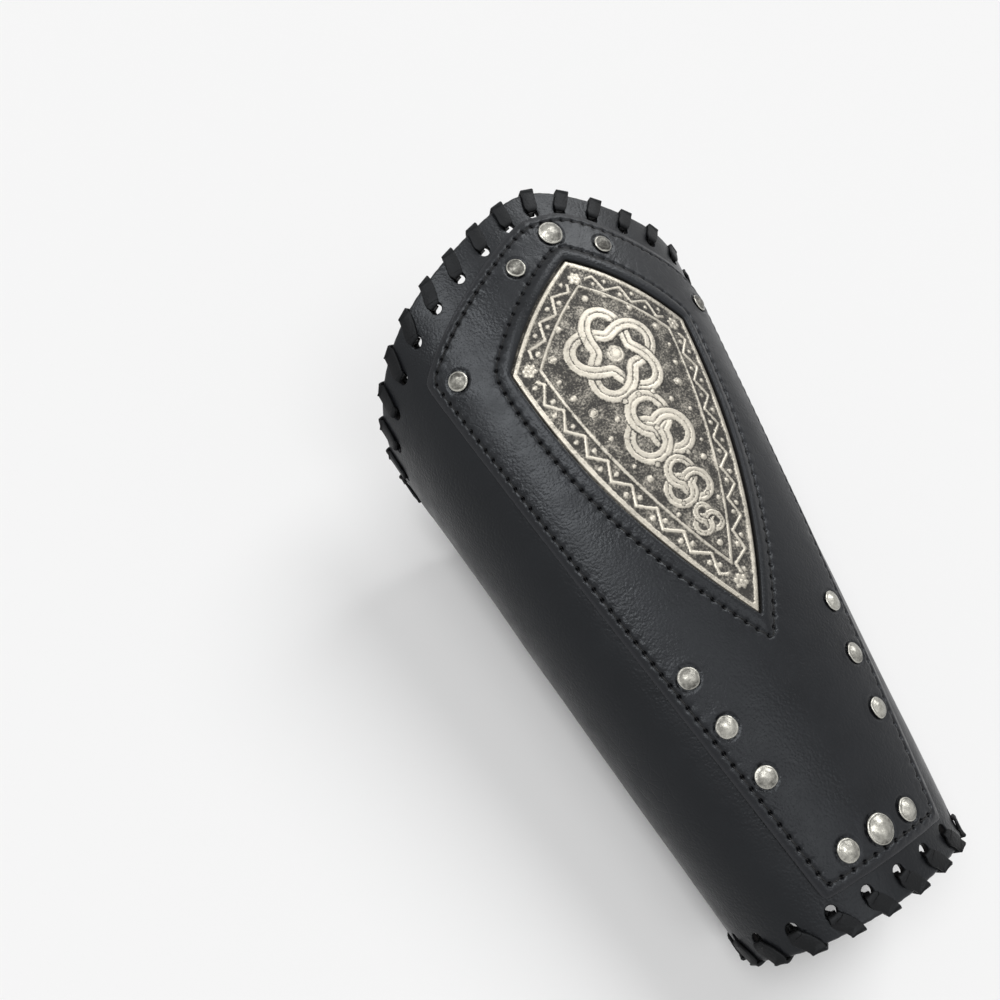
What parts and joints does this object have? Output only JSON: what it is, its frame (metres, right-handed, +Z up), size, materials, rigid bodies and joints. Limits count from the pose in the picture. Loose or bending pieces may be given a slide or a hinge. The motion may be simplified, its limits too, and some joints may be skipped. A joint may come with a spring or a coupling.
{
  "type": "leather bracer",
  "caption": "Laced leather forearm bracer with a stitched front panel, a framed metal plate, riveted caps and a back opening between two eyelet rows.",
  "frame": {"origin": "on the surface that it lies on, under the middle of its length and width", "axes": "+Y along the arm from the wrist to the elbow, +X across it, +Z up through the front of the bracer"},
  "size_m": [0.1528, 0.2682, 0.1241],
  "materials": {
    "sleeve_leather": "smooth black, semi-matt",
    "panel_leather": "smooth black, semi-matt, bevelled edge",
    "lace_leather": "matt black flat lace",
    "plate_metal": "antiqued silver casting, dark in the sunk ground",
    "nickel": "antiqued nickel plate"
  },
  "bodies": {
    "root": {"leather_sleeve": "sleeve_leather", "front_panel": "panel_leather", "emblem_plate": "plate_metal", "elbow_lace": "lace_leather", "wrist_lace": "lace_leather", "eyelet_1_left": "nickel", "eyelet_1_right": "nickel", "eyelet_2_left": "nickel", "eyelet_2_right": "nickel", "eyelet_3_left": "nickel", "eyelet_3_right": "nickel", "eyelet_4_left": "nickel", "eyelet_4_right": "nickel", "eyelet_5_left": "nickel", "eyelet_5_right": "nickel", "eyelet_washer_1_left": "nickel", "eyelet_washer_1_right": "nickel", "eyelet_washer_2_left": "nickel", "eyelet_washer_2_right": "nickel", "eyelet_washer_3_left": "nickel", "eyelet_washer_3_right": "nickel", "eyelet_washer_4_left": "nickel", "eyelet_washer_4_right": "nickel", "eyelet_washer_5_left": "nickel", "eyelet_washer_5_right": "nickel", "rivet_back_brow_left": "nickel", "rivet_back_brow_right": "nickel", "rivet_back_cuff_left": "nickel", "rivet_back_cuff_right": "nickel", "rivet_back_elbow": "nickel", "rivet_back_shoulder_left": "nickel", "rivet_back_shoulder_right": "nickel", "rivet_back_side_lower_left": "nickel", "rivet_back_side_lower_right": "nickel", "rivet_back_side_middle_left": "nickel", "rivet_back_side_middle_right": "nickel", "rivet_back_side_upper_left": "nickel", "rivet_back_side_upper_right": "nickel", "rivet_back_wrist": "nickel", "rivet_cap_brow_left": "nickel", "rivet_cap_brow_right": "nickel", "rivet_cap_cuff_left": "nickel", "rivet_cap_cuff_right": "nickel", "rivet_cap_elbow": "nickel", "rivet_cap_shoulder_left": "nickel", "rivet_cap_shoulder_right": "nickel", "rivet_cap_side_lower_left": "nickel", "rivet_cap_side_lower_right": "nickel", "rivet_cap_side_middle_left": "nickel", "rivet_cap_side_middle_right": "nickel", "rivet_cap_side_upper_left": "nickel", "rivet_cap_side_upper_right": "nickel", "rivet_cap_wrist": "nickel"}
  },
  "joints": []
}
